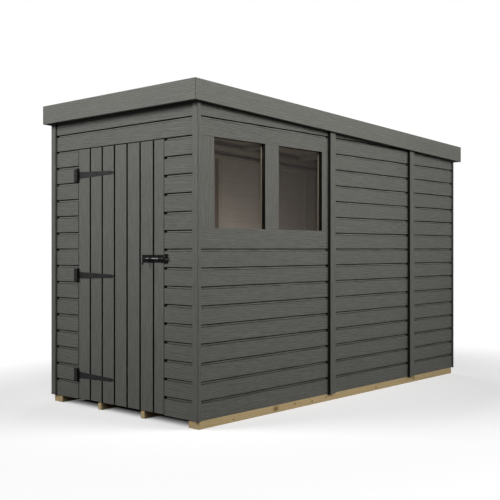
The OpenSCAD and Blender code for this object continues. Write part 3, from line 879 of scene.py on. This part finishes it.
def screw_set(name, body, places):
    bm = bmesh.new()
    for place in places:
        add_screw(bm, Vector(place))
    finish_piece(bm, name, body, [SCREW, CUT_AND_SHADE], "black_metal")


def knuckles_dark(normal, centre):
    """What stands out past a hinge's flat metal is its knuckles: darker metal, as painted shade."""
    return DARK if centre.y < wall_low.y - METAL_T - 0.5 * MM else PAINT


# Screws of a hinge, measured from its pin: on the plate to the left of it, and along the strap
PLATE_SCREWS_X = -0.035
PLATE_SCREWS_Z = (-0.033, 0, 0.033)
STRAP_SCREWS_X = (0.043, 0.199, 0.350)


def hinge_screws():
    face = knuckle_front + KNUCKLE_PROUD
    screw_set("hinge_plate_screws", "shed", [
        (pin.x + PLATE_SCREWS_X, face, z + dz) for z in HINGE_HEIGHTS for dz in PLATE_SCREWS_Z])
    screw_set("hinge_strap_screws", "door", [
        (pin.x + reach, face, z) for z in HINGE_HEIGHTS for reach in STRAP_SCREWS_X])


# Screws of the bolt's plate: in from its edges, from its left end, and from its right end
BOLT_SCREW_INSET = 7 * MM
BEFORE_INNER_GUIDE = 0.068
BETWEEN_GUIDES = 0.045
# Screws of the keeper, from its middle
KEEPER_SCREWS_X = (-0.009, 0.009)
KEEPER_SCREWS_Z = (-0.023, 0.023)


def bolt_screws():
    face = plate_high.y - METAL_T
    middle_z = (plate_low.z + plate_high.z) / 2
    rise = (plate_high.z - plate_low.z) / 2 - BOLT_SCREW_INSET
    plate_xs = (plate_low.x + BOLT_SCREW_INSET, plate_low.x + BEFORE_INNER_GUIDE,
                plate_high.x - BETWEEN_GUIDES)
    screw_set("bolt_plate_screws", "door", [
        (x, face, middle_z + dz) for x in plate_xs for dz in (-rise, rise)])
    keeper_x = (keeper_low.x + keeper_high.x) / 2
    screw_set("keeper_screws", "shed", [
        (keeper_x + dx, face, middle_z + dz) for dz in KEEPER_SCREWS_Z for dx in KEEPER_SCREWS_X])


def hardware():
    for node, body in (("hinge_plates", "shed"), ("hinge_straps", "door")):
        softened(node, body, [METAL, KNUCKLE_SHADE], "black_metal", 0.6 * MM, mark=knuckles_dark)
    for node, body, metal in (("bolt_plate", "door", PLATE), ("bolt_keeper", "shed", PLATE),
                              ("bolt_rod", "bolt", ROD)):
        softened(node, body, [metal], "black_metal", 0.6 * MM)
    hinge_screws()
    bolt_screws()


# ---------------------------------------------------------------- roof and glass
def roof_height(y):
    """Top of the felt above a place along the shed."""
    return felt_high.z - (y - felt_low.y) * ROOF_SLOPE


def felt_sheets():
    """Sheets across the roof, each lapped over the one below it down the slope."""
    bm, layer = new_mesh()
    length = (felt_high.y - felt_low.y) / FELT_SHEETS
    for i in range(FELT_SHEETS):
        start = felt_low.y + i * length
        end = min(start + length + FELT_LAP, felt_high.y)
        outline = [(start, roof_height(start) - FELT_T), (end, roof_height(end) - FELT_T),
                   (end, roof_height(end)), (start, roof_height(start))]
        rise = (FELT_SHEETS - 1 - i) * FELT_LAP_RISE

        def to_point(y, z, x, rise=rise):
            return Vector((x, y, z + rise))

        prism(bm, layer, outline, to_point, felt_low.x, felt_high.x, [PAINT] * 4)
    finish_piece(bm, "roof_felt.sheets", "shed", [FELT], "felt", "roof_felt")


def dress(node, material):
    """Gives a CAD node its material."""
    piece = frame["nodes"][node]
    piece.data.materials.clear()
    piece.data.materials.append(material)


# ---------------------------------------------------------------- light, floor and camera
def behind_everything(tree):
    """1 for rays that show the background: from the camera, off gloss or through glass."""
    path = tree.nodes.new("ShaderNodeLightPath")
    seen = math_node(tree, "MAXIMUM", path.outputs["Is Camera Ray"], path.outputs["Is Glossy Ray"])
    return math_node(tree, "MAXIMUM", seen, path.outputs["Is Transmission Ray"])


EVEN_LIGHT = 0.06


def white_background(tree, strength):
    node = tree.nodes.new("ShaderNodeBackground")
    node.inputs["Color"].default_value = (1, 1, 1, 1)
    node.inputs["Strength"].default_value = strength
    return node.outputs[0]


def white_world():
    """White wherever it shows, and only a faint even light on the shed."""
    world = bpy.data.worlds.new("studio")
    bpy.context.scene.world = world
    world.use_nodes = True
    tree = world.node_tree
    tree.nodes.clear()
    out = tree.nodes.new("ShaderNodeOutputWorld")
    light = mix_shaders(tree, behind_everything(tree), white_background(tree, EVEN_LIGHT),
                        white_background(tree, 1.0))
    link(tree, light, out.inputs["Surface"])


def area_light(name, place, aim, size, power, spread=180, in_gloss=True):
    data = bpy.data.lights.new(name, "AREA")
    data.shape = "RECTANGLE"
    data.size, data.size_y = size
    data.energy = power
    data.spread = math.radians(spread)
    lamp = bpy.data.objects.new(name, data)
    lamp.location = place
    lamp.rotation_euler = (Vector(aim) - Vector(place)).to_track_quat("-Z", "Y").to_euler()
    lamp.visible_camera = False
    lamp.visible_glossy = in_gloss
    bpy.context.scene.collection.objects.link(lamp)


def studio_lights():
    """Large lamps on the door end and the pane side, small ones on the eaves and the back.

    The last two stand in the shed behind the panes: light that comes in, and off its floor.
    """
    area_light("door_end_light", (-4.6, -8.1, 5.4), (0.6, -1.5, 2.7), size=(6.4, 4.4), power=198,
               spread=70)
    area_light("pane_side_light", (7.4, 3.2, 5.2), (0.7, -1.1, 2.8), size=(7.0, 5.0), power=218,
               spread=70, in_gloss=False)
    area_light("eaves_light", (4.9, -5.4, 4.4), (0.75, -1.2, 2.5), size=(2.4, 1.6), power=26,
               spread=46)
    area_light("back_light", (-3.6, 3.6, 3.4), (-0.4, 0.8, 1.0), size=(2.5, 1.5), power=60,
               in_gloss=False)
    panes_y = glass_high.y + 0.4
    area_light("light_through_panes", (0.45, panes_y, 0.90), (-0.7, panes_y, 0.68),
               size=(0.9, 0.5), power=4.0, spread=130, in_gloss=False)
    bounce_y = glass_high.y + 0.3
    area_light("light_off_floor", (0, bounce_y, 0.12), (0, bounce_y, 2), size=(1.1, 2.2),
               power=3.6, in_gloss=False)


# The floor as it shows: its tone and glow, and the tone of the shadow painted under the shed
FLOOR_HALF = 60
FLOOR_TONE, FLOOR_GLOW = 0.68, 0.40
UNDER_SHADOW_TONE = 0.1
# Its tone as the shed is lit by it
FLOOR_BOUNCE = 0.08
# The painted shadow under the shed, and its soft rim
UNDER_HALF_X, UNDER_HALF_Y = 0.74, 1.57
UNDER_RIM = 0.16
# How it turns to plain white with the distance from the shed
FADE_SHIFT = (0, 0.2, 0)
FADE_SHAPE = (1.4, 1, 1)
FADE_RISE, FADE_START = 0.7, -1.6


def painted_shadow_under_shed(tree):
    """Mask of the painted shadow: 1 on the floor under the shed, falling to 0 over a soft rim."""
    axes = axis_node(tree, object_place(tree))
    reach = [math_node(tree, "MULTIPLY_ADD", math_node(tree, "ABSOLUTE", axes[i]), -1 / UNDER_RIM,
                       half / UNDER_RIM, clamp=True)
             for i, half in enumerate((UNDER_HALF_X, UNDER_HALF_Y))]
    return math_node(tree, "MINIMUM", *reach)


def far_off(tree):
    """0 on the floor around the shed, rising to 1 far from it."""
    from_shed = vector_node(tree, "ADD", object_place(tree), FADE_SHIFT)
    away = vector_node(tree, "LENGTH", vector_node(tree, "MULTIPLY", from_shed, FADE_SHAPE))
    return math_node(tree, "MULTIPLY_ADD", away, FADE_RISE, FADE_START, clamp=True)


def studio_floor():
    """A floor that shows white and keeps the shed's soft shadow, with a painted shadow and no glow
    under the shed; far off it is plain white.
    """
    bm = bmesh.new()
    bmesh.ops.create_grid(bm, x_segments=1, y_segments=1, size=FLOOR_HALF)
    mesh = bpy.data.meshes.new("studio_floor")
    bm.to_mesh(mesh)
    bm.free()
    material, tree, shader = new_material("studio_floor")
    under = painted_shadow_under_shed(tree)
    link(tree, mix_colour(tree, under, grey(FLOOR_TONE), grey(UNDER_SHADOW_TONE)),
         shader.inputs["Base Color"])
    link(tree, mix_colour(tree, under, grey(FLOOR_GLOW), grey(0.0)),
         shader.inputs["Emission Color"])
    shader.inputs["Emission Strength"].default_value = 1.0
    set_gloss(shader, roughness=1.0, specular=0.0)
    white = tree.nodes.new("ShaderNodeEmission")
    shown = mix_shaders(tree, far_off(tree), shader.outputs[0], white.outputs[0])
    dim = tree.nodes.new("ShaderNodeBsdfDiffuse")
    dim.inputs["Color"].default_value = (*grey(FLOOR_BOUNCE), 1)
    out = tree.nodes["Material Output"]
    link(tree, mix_shaders(tree, behind_everything(tree), dim.outputs[0], shown),
         out.inputs["Surface"])
    mesh.materials.append(material)
    floor = bpy.data.objects.new("studio_floor", mesh)
    bpy.context.scene.collection.objects.link(floor)


def camera():
    """A level camera off the near corner, between the door end and the pane side."""
    near_corner = Vector((trim_high.x, trim_low.y, 0))
    eye_from_corner = Vector((3.558, -3.5135, 1.082))
    forward = Vector((-0.6667, 0.7453, 0))
    data = bpy.data.cameras.new("camera")
    data.sensor_width = 36
    data.lens = 60.54
    data.shift_y = -0.0028
    data.clip_end = 200
    eye = bpy.data.objects.new("camera", data)
    eye.location = near_corner + eye_from_corner
    eye.rotation_euler = forward.to_track_quat("-Z", "Y").to_euler()
    bpy.context.scene.collection.objects.link(eye)
    bpy.context.scene.camera = eye


wall_boards()
trims_and_fascias()
timber_pieces()
door_boards()
hardware()
felt_sheets()
dress("window_glass", PANE)
white_world()
studio_lights()
studio_floor()
camera()
bpy.context.scene.view_settings.view_transform = "Standard"
